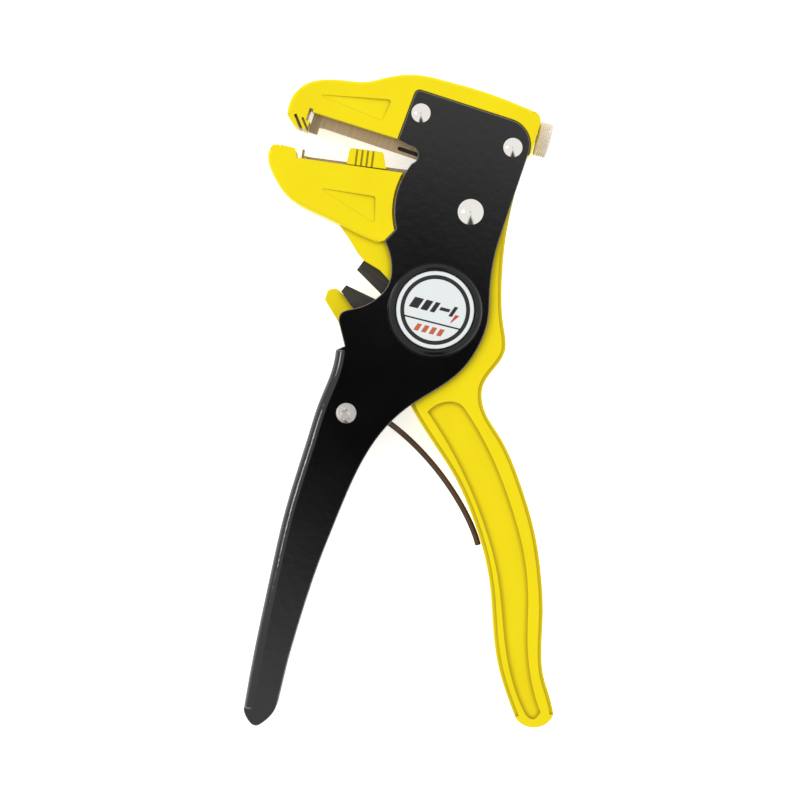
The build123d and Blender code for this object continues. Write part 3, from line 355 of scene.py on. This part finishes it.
def makeSteel(name):
    # ground or brushed metal: stretched lines move the colour, roughness and relief together
    values = steelFinish[name]
    material, tree, shader = startMaterial(name, Metallic=1.0)
    edge = placeGroup(tree, softEdge, -900, -200, {"Radius": steelEdge["radius"], "Gain": steelEdge["gain"]})
    turn = (0.0, 0.0, -np.radians(values["angle"]))  # brings the way of the brushing onto X
    marks = placeGroup(tree, brushing, -900, 150, {"Angle": turn, "Stretch": values["stretch"]})
    base = mixColour(tree, -600, 200, marks.outputs["Streaks"], values["colour"], values["tint"])
    # painted highlight: the metal's colour turns lighter along rounded edges
    edgeHighlight = tuple(min(1.0, c * 1.7 + 0.06) for c in values["colour"])
    atEdge = rangeOf(tree, -600, 0, edge.outputs["Edge"], 0.0, steelEdge["share"])
    tree.links.new(mixColour(tree, -450, 200, atEdge, base, edgeHighlight), shader.inputs["Base Color"])
    tree.links.new(rangeOf(tree, -450, 0, marks.outputs["Lines"], *values["rough"]),
                   shader.inputs["Roughness"])
    addRelief(tree, shader, marks.outputs["Lines"], values["depth"], edge.outputs["Normal"])
    return material


lemon, black = makeLemonPaint(), makeBlackPaint()
capPlastic = makeMoulding("capPlastic", (0.005, 0.005, 0.006), 0.16, shine=0.3)
rivetSteel, pinSteel, bladeSteel, barSteel, cutterSteel, nickel, springSteel, oiledSteel = (
    makeSteel(name) for name in steelFinish)
print("finishes made")

finishOf = {
    "upper_jaw": lemon, "lower_jaw": lemon, "moving_handle": lemon, "length_stop": lemon,
    "folded_frame": black, "emblem_cap": capPlastic,
    "head_rivets": rivetSteel, "main_pivot_rivet": rivetSteel, "handle_pivot_pin": rivetSteel,
    "upper_blade_bar": barSteel, "lower_blade_bar": barSteel,
    "upper_stripping_blade": bladeSteel, "lower_stripping_blade": bladeSteel, "upper_grip_pad": bladeSteel,
    "upper_cutter_blade": cutterSteel, "lower_cutter_blade": cutterSteel,
}
for nodeName, node in nodes.items():
    giveFinish(node, finishOf.get(nodeName, pinSteel))

# emblem: printed disc in the cap
emblem = {
    "face": (0.83, 0.87, 0.87), "ink": (0.006, 0.006, 0.007), "red": (0.42, 0.022, 0.012),
    "orange": (0.44, 0.085, 0.03), "faceDark": 0.86, "inkDepth": 0.02, "inkLift": 0.002, "inkEdge": 0.01 * mm,
    "ringInner": 8.33, "ringOuter": 9.42, "ruleTilt": -14.2, "ruleWidth": 0.42, "ruleY": -3.45,
    "barLow": -0.75, "barHigh": 2.15, "barLean": 1.1, 
    "bars": ((-6.9, 2.5), (-3.7, 1.9), (-1.1, 1.3), (0.9, 2.7), (4.1, 1.0)),  # start and width of each
    "dash": 3, "dashLow": 0.25, "dashHigh": 1.15,
    "wedge": ((4.75, -2.3), (5.05, -2.3), (6.75, 0.0), (5.6, 0.0)),
    "lozengeStarts": (-4.4, -2.3, -0.2, 1.9), "lozengeWidth": 1.25, "lozengeLean": 0.7,
    "lozengeLow": -6.6, "lozengeHigh": -4.6,
}
discLow, discHigh = (np.array(corner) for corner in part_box("emblem_disc"))
discTop = np.array([(discLow[0] + discHigh[0]) / 2, (discLow[1] + discHigh[1]) / 2, discHigh[2]])


def makeDiscFace():
    material, tree, shader = startMaterial("discFace", Metallic=0.25, Coat_Weight=0.6, Coat_Roughness=0.06)
    spots = placeGroup(tree, speckle, -900, 200,
                       {"Blotch Scale": 300.0, "Speck Scale": 5200.0, "Speck Level": 0.58})
    darker = tuple(c * emblem["faceDark"] for c in emblem["face"])
    onSpecks = rangeOf(tree, -750, 0, spots.outputs["Specks"], 0.0, 0.5)
    base = mixColour(tree, -600, 200, onSpecks, emblem["face"], darker)
    tree.links.new(base, shader.inputs["Base Color"])
    tree.links.new(rangeOf(tree, -600, 0, spots.outputs["Blotch"], 0.25, 0.40), shader.inputs["Roughness"])
    addRelief(tree, shader, spots.outputs["Specks"], 0.004 * mm, None, 0.5)
    return material


giveFinish(nodes["emblem_disc"], makeDiscFace())
inkBlack = makeMoulding("inkBlack", emblem["ink"], 0.25, emblem["inkEdge"])
inkRed = makeMoulding("inkRed", emblem["red"], 0.30, emblem["inkEdge"])
inkOrange = makeMoulding("inkOrange", emblem["orange"], 0.30, emblem["inkEdge"])
printFloor = discTop + np.array([0, 0, emblem["inkLift"] * mm])  # just clear of the disc


def tilted(x, y):
    # a place on the disc in mm, with x along the sloping rule
    angle = np.radians(emblem["ruleTilt"])
    return np.array([x * np.cos(angle) - y * np.sin(angle), x * np.sin(angle) + y * np.cos(angle)])


def printPatch(name, corners, ink):
    # bilinear blend of four corners: each place is a weighted mean of them; the ink has a little thickness
    a, b, c, d = (np.append(tilted(*corner), 0.0) for corner in corners)
    u, v = np.meshgrid(np.linspace(0, 1, 5), np.linspace(0, 1, 3), indexing="ij")
    u, v = u[..., None], v[..., None]
    sheet = (1 - u) * (1 - v) * a + u * (1 - v) * b + u * v * c + (1 - u) * v * d
    lift = np.array([0, 0, emblem["inkDepth"]])
    rim = np.concatenate([sheet[:, :1], sheet + lift, sheet[:, -1:], sheet[:, ::-1]], axis=1)
    ends = [np.repeat(end.mean(axis=1, keepdims=True), rim.shape[1], axis=1) for end in (rim[:1], rim[-1:])]
    solid = np.concatenate([ends[0], rim, ends[1]], axis=0)
    piece = makeGrid(name, printFloor + solid * mm, wrapV=True, sharpAngle=0.5)
    giveFinish(piece, ink)
    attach(piece, "frame")


def printRing(name, inner, outer, ink):
    # a flat ring with square section, carried once round the disc's axis
    section = np.array([(inner, 0.0), (inner, 1.0), (outer, 1.0), (outer, 0.0)])
    turn = np.linspace(0, 2 * np.pi, 160, endpoint=False)[:, None]
    radius, rise = section[None, :, 0], section[None, :, 1] * emblem["inkDepth"] + 0 * turn
    solid = np.stack([radius * np.cos(turn), radius * np.sin(turn), rise], axis=-1)
    piece = makeGrid(name, printFloor + solid * mm, wrapU=True, wrapV=True, sharpAngle=0.5)
    giveFinish(piece, ink)
    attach(piece, "frame")


printRing("emblemRing", emblem["ringInner"], emblem["ringOuter"], inkBlack)
reach = np.sqrt(emblem["ringInner"] ** 2 - emblem["ruleY"] ** 2) + 0.2  # a little under the ring
ruleLow, ruleHigh = emblem["ruleY"] - emblem["ruleWidth"] / 2, emblem["ruleY"] + emblem["ruleWidth"] / 2
printPatch("emblemRule",
           [(-reach, ruleLow), (reach, ruleLow), (reach, ruleHigh), (-reach, ruleHigh)], inkBlack)
slope = emblem["barLean"] / (emblem["barHigh"] - emblem["barLow"])
for k, (start, width) in enumerate(emblem["bars"]):
    isDash = k == emblem["dash"]
    low, high = (emblem["dashLow"], emblem["dashHigh"]) if isDash else (emblem["barLow"], emblem["barHigh"])
    end, leanLow, leanHigh = start + width, slope * low, slope * high
    printPatch(f"emblemBar{k + 1}", [(start + leanLow, low), (end + leanLow, low),
                                     (end + leanHigh, high), (start + leanHigh, high)], inkBlack)
printPatch("emblemWedge", emblem["wedge"], inkRed)
for k, start in enumerate(emblem["lozengeStarts"]):
    end, tip = start + emblem["lozengeWidth"], emblem["lozengeLean"]
    low, high = emblem["lozengeLow"], emblem["lozengeHigh"]
    printPatch(f"emblemLozenge{k + 1}", [(start, low), (end, low), (end + tip, high), (start + tip, high)],
               inkOrange)
print("emblem printed")

# adjusting screw: knurled head and real thread
screw = {
    "headRadius": 4.75, "headHalf": 1.9, "chamfer": 0.4, "faceSink": 0.15,
    "knurlDepth": 0.26, "knurlTeeth": 34, "knurlLead": 1.25, "knurlSharp": 1.7,
    "shank": 1.5, "threadDepth": 0.28, "threadEnd": -16.4, "threadFade": 0.6, "pitch": 0.5,
    "tip": -28.0, "tipTaper": 0.4, "groove": -15.4, "grooveHalf": 0.35, "grooveRadius": 1.1,
}
screwSpot = np.array(joints["screw_turn"]["pos_m"])
screwLine = np.array(joints["screw_turn"]["axis"])
screwSide = np.array([-screwLine[1], screwLine[0], 0.0])


def aboutScrew(x, radius, turn):
    # revolves radii about the screw's line; x runs along it from the middle of the head
    outwards = np.cos(turn)[..., None] * screwSide + np.sin(turn)[..., None] * np.array([0, 0, 1.0])
    ring = radius[..., None] * outwards
    return screwSpot + (x[..., None] * screwLine + ring) * mm


def makeScrewHead():
    # drum with a diamond knurl: the radius drops towards two crossed families of helical grooves, and the
    # middle of the outer face is sunk a little
    half = screw["headHalf"]
    x = np.concatenate([np.full(3, -half), np.linspace(-half, half, 49), np.full(5, half)])
    inner = np.concatenate([[0.0, 1.4, 3.2], np.full(49, screw["headRadius"]), [3.9, 3.5, 3.35, 1.2, 0.0]])
    turn = np.linspace(0, 2 * np.pi, screw["knurlTeeth"] * 10, endpoint=False)
    xs, turns = np.meshgrid(x, turn, indexing="ij")
    tooth = screw["knurlTeeth"] * turns / (2 * np.pi)
    ways = [np.abs(((tooth + s * xs / screw["knurlLead"]) % 1.0) - 0.5) * 2 for s in (1, -1)]
    ridge = np.clip(screw["knurlSharp"] * np.minimum(1 - ways[0], 1 - ways[1]), 0, 1)
    corner = np.clip((screw["headHalf"] - np.abs(xs)) / screw["chamfer"], 0, 1)
    rim = inner[:, None] > 4
    cut = screw["chamfer"] * (1 - corner) + screw["knurlDepth"] * (1 - ridge) * corner
    radius = np.where(rim, inner[:, None] - cut, inner[:, None])
    sunk = (x > half - 0.01) & (inner < 3.4)
    xs = xs - screw["faceSink"] * sunk[:, None]
    return makeGrid("screwHead", aboutScrew(xs, radius + 0 * turns, turns), wrapV=True, sharpAngle=0.75)


def makeScrewShank():
    # thread: the radius follows a triangle wave that climbs one pitch a turn and fades out before the
    # clip's groove; the tip is turned down
    x = np.linspace(screw["tip"], -screw["headHalf"] + 0.1, 540)
    turn = np.linspace(0, 2 * np.pi, 40, endpoint=False)
    xs, turns = np.meshgrid(x, turn, indexing="ij")
    wave = np.abs(((xs / screw["pitch"] - turns / (2 * np.pi)) % 1.0) - 0.5) * 2
    threaded = np.clip((screw["threadEnd"] - xs) / screw["threadFade"], 0, 1)
    tip = np.clip(1 - (xs - screw["tip"]) / 0.5, 0, 1)
    groove = np.abs(xs - screw["groove"]) < screw["grooveHalf"]
    radius = screw["shank"] - screw["threadDepth"] * wave * threaded - screw["tipTaper"] * tip
    radius = np.where(groove, screw["grooveRadius"], radius)
    radius[0], radius[-1] = 0.0, 0.0
    return makeGrid("screwShank", aboutScrew(xs, radius, turns), wrapV=True, sharpAngle=0.9)


screwPieces = [makeScrewHead(), makeScrewShank()]
for piece in screwPieces:
    giveFinish(piece, nickel)
    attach(piece, "screw")
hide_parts("adjusting_screw")
print("screw knurled")

# dark sheet in the blind slot of the upper blade bar: painted shade standing for the slot's dark inside
barSlot = {"length": 7.4, "width": 1.1, "u": -20.6, "v": 10.5, "floor": 0.72, "gap": 0.01,
           "railAngle": -18.5}


def fromRail(u, v, z, railAngle):
    # places in metres of points given in mm along and across a sloping rail through the main pivot
    angle = np.radians(railAngle)
    x, y = u * np.cos(angle) - v * np.sin(angle), u * np.sin(angle) + v * np.cos(angle)
    return jawPivot + np.stack([x, y, z], axis=-1) * mm


def makeSlotShadeSheet():
    # stadium: two half circles joined by straight sides, filled from its middle line out, a little thick
    turn = np.linspace(0, 2 * np.pi, 64, endpoint=False)[:, None]
    share = np.array([0.0, 0.6, 1.0, 1.0, 0.6, 0.0])[None, :]
    rise = np.array([0.06, 0.06, 0.045, 0.0, 0.0, 0.0])[None, :] + 0 * turn
    radius, half = barSlot["width"] / 2 - barSlot["gap"], (barSlot["length"] - barSlot["width"]) / 2
    u = barSlot["u"] + share * (radius * np.cos(turn) + half * np.sign(np.cos(turn)))
    v = barSlot["v"] + share * radius * np.sin(turn)
    points = fromRail(u, v, barSlot["floor"] + rise, barSlot["railAngle"])
    return makeGrid("barSlotShadeSheet", points, wrapU=True)


slotShadeSheet = makeSlotShadeSheet()
# the near-black finish paints the shade of a deep slot
giveFinish(slotShadeSheet, makeMoulding("slotShadeDark", (0.012, 0.009, 0.006), 0.5, 0.01 * mm))
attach(slotShadeSheet, "upper_carriage")

# steel tooth in the front slot of the upper nose
noseTooth = {"length": 4.2, "width": 0.66, "u": -51.9, "v": 8.4, "turn": 41.0, "low": -6.0, "high": 5.6,
             "bevel": 0.06, "lowest": 7.1, "squareness": 0.3, "railAngle": -18.5}


def makeNoseTooth():
    # plate with a flattened oval section, carried straight through the nose; its lower end follows the
    # grip face
    turn = np.linspace(0, 2 * np.pi, 48, endpoint=False)[:, None]
    share = np.array([0.0, 0.9, 1.0, 1.0, 0.9, 0.0])[None, :]
    low, high, bevel = noseTooth["low"], noseTooth["high"], noseTooth["bevel"]
    z = np.array([high, high, high - bevel, low + bevel, low, low])[None, :] + 0 * turn
    oval = [np.sign(wave) * np.abs(wave) ** noseTooth["squareness"] for wave in (np.cos(turn), np.sin(turn))]
    across = share * noseTooth["width"] / 2 * oval[0]
    lengthwise = share * noseTooth["length"] / 2 * oval[1]
    angle = np.radians(noseTooth["turn"])
    u = noseTooth["u"] + across * np.cos(angle) - lengthwise * np.sin(angle)
    v = np.maximum(noseTooth["v"] + across * np.sin(angle) + lengthwise * np.cos(angle), noseTooth["lowest"])
    return makeGrid("noseTooth", fromRail(u, v, z, noseTooth["railAngle"]), wrapU=True)


toothPlate = makeNoseTooth()
giveFinish(toothPlate, oiledSteel)
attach(toothPlate, "frame")

# handle spring: close-wound coil on the anchor rivet, long leg to the moving handle
spring = {
    "wire": 0.8, "coil": 3.4, "anchor": (-33.6, -54.3),
    "enter": 155.0, "leave": 68.0, "turns": 4, "height": 6.8,
    "shortTip": (-42.7, -65.0), "longTip": (2.15, -90.2), "longPull": (20.0, -22.0), "tipPull": (10.5, -76.8),
    "dropShare": 0.45, "endRound": 0.8, "sides": 20, "coilSteps": 400, "legSteps": 160,
    "bendStart": (-29.0, -53.0), "bendEnd": (1.0, -87.0),
}


def aim(point, pull, sign):
    # a handle for a curve end: so far from the point, at so many degrees
    length, angle = pull
    return np.array(point) + sign * length * np.array([np.cos(np.radians(angle)), np.sin(np.radians(angle))])


def springPath():
    # straight short leg, then a helix clockwise about the anchor, then a cubic curve down to the handle,
    # which eases from the top of the coil to the middle of the tool's thickness
    ax, ay = spring["anchor"]
    last = spring["leave"] - 360 * spring["turns"]
    angles = np.radians(np.linspace(spring["enter"], last, spring["coilSteps"]))
    coil = np.stack([ax + spring["coil"] * np.cos(angles), ay + spring["coil"] * np.sin(angles),
                     np.linspace(-spring["height"] / 2, spring["height"] / 2, spring["coilSteps"])], axis=1)
    s = np.linspace(0, 1, 30, endpoint=False)[:, None]
    shortLeg = (1 - s) * np.array([*spring["shortTip"], -spring["height"] / 2]) + s * coil[0]
    p0, p3 = coil[-1, :2], np.array(spring["longTip"])
    p1, p2 = aim(p0, spring["longPull"], 1), aim(p3, spring["tipPull"], -1)
    t = np.linspace(0, 1, spring["legSteps"])[1:, None]
    longLeg = (1 - t) ** 3 * p0 + 3 * (1 - t) ** 2 * t * p1 + 3 * (1 - t) * t ** 2 * p2 + t ** 3 * p3
    ease = np.clip(1 - t / spring["dropShare"], 0, 1)
    drop = spring["height"] / 2 * ease * ease * (3 - 2 * ease)
    return np.concatenate([shortLeg, coil, np.concatenate([longLeg, drop], axis=1)])


def makeSpring():
    # round wire carried along the path, square to it; the ends are rounded over like half balls
    path = springPath()
    ahead = np.gradient(path, axis=0)
    ahead /= np.linalg.norm(ahead, axis=1, keepdims=True)
    side = np.cross(ahead, [0, 0, 1.0])
    side /= np.linalg.norm(side, axis=1, keepdims=True)
    up = np.cross(side, ahead)
    centre = np.concatenate([path[:1], path, path[-1:]])
    radius = np.concatenate([[0.0], np.full(len(path), spring["wire"]), [0.0]])
    radius[1] = radius[-2] = spring["wire"] * spring["endRound"]
    side, up = (np.concatenate([a[:1], a, a[-1:]]) for a in (side, up))
    turn = np.linspace(0, 2 * np.pi, spring["sides"], endpoint=False)
    ring = np.cos(turn)[None, :, None] * side[:, None, :] + np.sin(turn)[None, :, None] * up[:, None, :]
    surface = centre[:, None, :] + radius[:, None, None] * ring
    return makeGrid("handleSpringWire", jawPivot + surface * mm, wrapV=True, sharpAngle=1.2)


springWire = makeSpring()
giveFinish(springWire, springSteel)
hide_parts("handle_spring")
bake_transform(springWire)
print("spring wound")

# anchor rivet: peened head
peen = {"shank": 1.8, "head": 2.75, "rim": 0.3, "rise": 1.2, "domePower": 2.4, "crater": 1.15,
        "craterDepth": 0.42, "broadMarks": 0.10, "fineMarks": 0.05}


def makeAnchorRivet():
    # section turned about the rivet's line: sunk tail, shank, then a dome pressed in at the middle, with
    # uneven hammer marks from two waves round and across it
    low, high = (np.array(corner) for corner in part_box("spring_anchor_rivet"))
    centre = np.array([(low[0] + high[0]) / 2, (low[1] + high[1]) / 2, 0.0])
    tail, top = low[2] / mm, high[2] / mm
    face = top - peen["rise"]
    share = np.linspace(0, 1, 30)
    domeRadius = peen["head"] * (1 - share)
    domeRise = face + peen["rim"] + (peen["rise"] - peen["rim"]) * (1 - (1 - share) ** peen["domePower"])
    pressed = np.clip(1 - (domeRadius / peen["crater"]) ** 2, 0, 1)
    domeRise = domeRise - peen["craterDepth"] * pressed
    r = np.concatenate([[0, peen["head"], peen["shank"], peen["shank"], peen["head"]], domeRadius])
    z = np.concatenate([[tail, tail, tail + peen["head"] - peen["shank"], face, face], domeRise])
    turn = np.linspace(0, 2 * np.pi, 72, endpoint=False)
    rs, turns = np.meshgrid(r, turn, indexing="ij")
    zs = z[:, None] + 0 * turns
    onDome = (z > face + 0.05)[:, None]
    marks = peen["broadMarks"] * np.sin(3 * turns + 2.2 * rs) * np.sin(1.7 * rs + 0.8) \
        + peen["fineMarks"] * np.sin(7 * turns - 3 * rs)
    fade = np.clip(rs / 0.6, 0, 1) * np.clip((peen["head"] - rs) / 0.5, 0, 1)
    zs = np.minimum(zs + onDome * marks * fade, top)
    points = centre + np.stack([rs * np.cos(turns), rs * np.sin(turns), zs], axis=-1) * mm
    return makeGrid("anchorRivetPeened", points, wrapV=True, sharpAngle=0.8)


anchorRivet = makeAnchorRivet()
giveFinish(anchorRivet, pinSteel)
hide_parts("spring_anchor_rivet")
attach(anchorRivet, "frame")
print("anchor rivet peened")

# floor, light and camera
studio = {
    "floor": (0.93, 0.93, 0.925), "floorHalf": 2.5, "glow": 0.62, "tent": 0.95, "shade": 0.0,
    "holeStart": 0.026, "holeEnd": 0.10,
    "wedgeLean": 0.42, "wedgeStart": -0.26, "wedgeEnd": -0.02, "wedgeLeast": 0.06,
    "cameraHeight": 0.95, "frameWidth": 0.2160, "aimX": 0.15 * mm, "aimY": 0.29 * mm,
}
lamps = {  # place, size, power, seen in gloss
    "softLeft": ((-0.9, 0.5, 0.9), 0.6, 1.8, False),
    "softRight": ((0.8, 0.6, 1.0), 0.6, 1.0, False),
    "foldLight": ((-0.97, 0.20, 0.99), 0.24, 1.8, True),
}


def makeFloor():
    # flat square under the tool; a little of its own light keeps it pale
    side = np.linspace(-studio["floorHalf"], studio["floorHalf"], 3)
    u, v = np.meshgrid(side, side, indexing="ij")
    floor = makeGrid("floor", np.stack([u, v, np.full_like(u, -0.02 * mm)], axis=-1))
    material, tree, shader = startMaterial("paleFloor", Roughness=0.9, Specular_IOR_Level=0.1)
    shader.inputs["Base Color"].default_value = (*studio["floor"], 1.0)
    shader.inputs["Emission Color"].default_value = (1.0, 1.0, 1.0, 1.0)
    shader.inputs["Emission Strength"].default_value = studio["glow"]
    giveFinish(floor, material)


def makeTent():
    # a white light tent with a dark opening overhead, longer towards the handle ends
    world = bpy.data.worlds.new("lightTent")
    bpy.context.scene.world = world
    world.use_nodes = True
    tree = world.node_tree
    back = tree.nodes["Background"]
    back.inputs["Strength"].default_value = studio["tent"]
    place = addNode(tree, "ShaderNodeTexCoord", -1200, 0)
    apart = addNode(tree, "ShaderNodeSeparateXYZ", -1000, 0)
    tree.links.new(place.outputs["Generated"], apart.inputs[0])
    flat = addNode(tree, "ShaderNodeVectorMath", -650, 100, {1: (1.0, 1.0, 0.0)}, operation="MULTIPLY")
    reach = addNode(tree, "ShaderNodeVectorMath", -500, 100, operation="LENGTH")
    hole = addNode(tree, "ShaderNodeMapRange", -350, 100, interpolation_type="SMOOTHSTEP",
                   values={"From Min": studio["holeStart"], "From Max": studio["holeEnd"]})
    tree.links.new(place.outputs["Generated"], flat.inputs[0])
    tree.links.new(flat.outputs[0], reach.inputs[0])
    tree.links.new(reach.outputs["Value"], hole.inputs["Value"])
    wide = addNode(tree, "ShaderNodeMath", -800, -150, operation="ABSOLUTE")
    tree.links.new(apart.outputs["X"], wide.inputs[0])
    depth = addNode(tree, "ShaderNodeMath", -800, -300, {1: studio["wedgeLean"]}, operation="MULTIPLY")
    tree.links.new(apart.outputs["Y"], depth.inputs[0])
    edge = addNode(tree, "ShaderNodeMath", -650, -200, operation="ADD")
    tree.links.new(wide.outputs[0], edge.inputs[0])
    tree.links.new(depth.outputs[0], edge.inputs[1])
    wedge = addNode(tree, "ShaderNodeMapRange", -500, -200, interpolation_type="SMOOTHSTEP",
                    values={"From Min": studio["wedgeStart"], "From Max": studio["wedgeEnd"],
                            "To Min": studio["wedgeLeast"]})
    tree.links.new(edge.outputs[0], wedge.inputs["Value"])
    least = addNode(tree, "ShaderNodeMath", -200, 0, operation="MINIMUM")
    tree.links.new(hole.outputs["Result"], least.inputs[0])
    tree.links.new(wedge.outputs["Result"], least.inputs[1])
    shade = addNode(tree, "ShaderNodeMapRange", -50, 0, {"To Min": studio["shade"], "To Max": 1.0})
    tree.links.new(least.outputs[0], shade.inputs["Value"])
    tree.links.new(shade.outputs["Result"], back.inputs["Color"])


def addLamp(name, place, size, power, inGloss):
    # a round lamp turned to face the middle of the tool
    lamp = bpy.data.lights.new(name, "AREA")
    lamp.shape, lamp.size, lamp.energy = "DISK", size, power
    holder = bpy.data.objects.new(name, lamp)
    bpy.context.scene.collection.objects.link(holder)
    holder.location = place
    away = np.array(place)
    holder.visible_glossy = inGloss
    tilt, turn = np.arccos(away[2] / np.linalg.norm(away)), np.arctan2(away[0], -away[1])
    holder.rotation_euler = (float(tilt), 0.0, float(turn))


def makeCamera():
    camera = bpy.data.cameras.new("overhead")
    camera.lens = 36.0 * studio["cameraHeight"] / studio["frameWidth"]
    camera.clip_end = 20.0
    holder = bpy.data.objects.new("overhead", camera)
    bpy.context.scene.collection.objects.link(holder)
    holder.location = (studio["aimX"], studio["aimY"], 0.014 + studio["cameraHeight"])
    bpy.context.scene.camera = holder


makeFloor()
makeTent()
for lampName, lampValues in lamps.items():
    addLamp(lampName, *lampValues)
makeCamera()
bpy.context.scene.view_settings.view_transform = "Standard"
print("studio set")
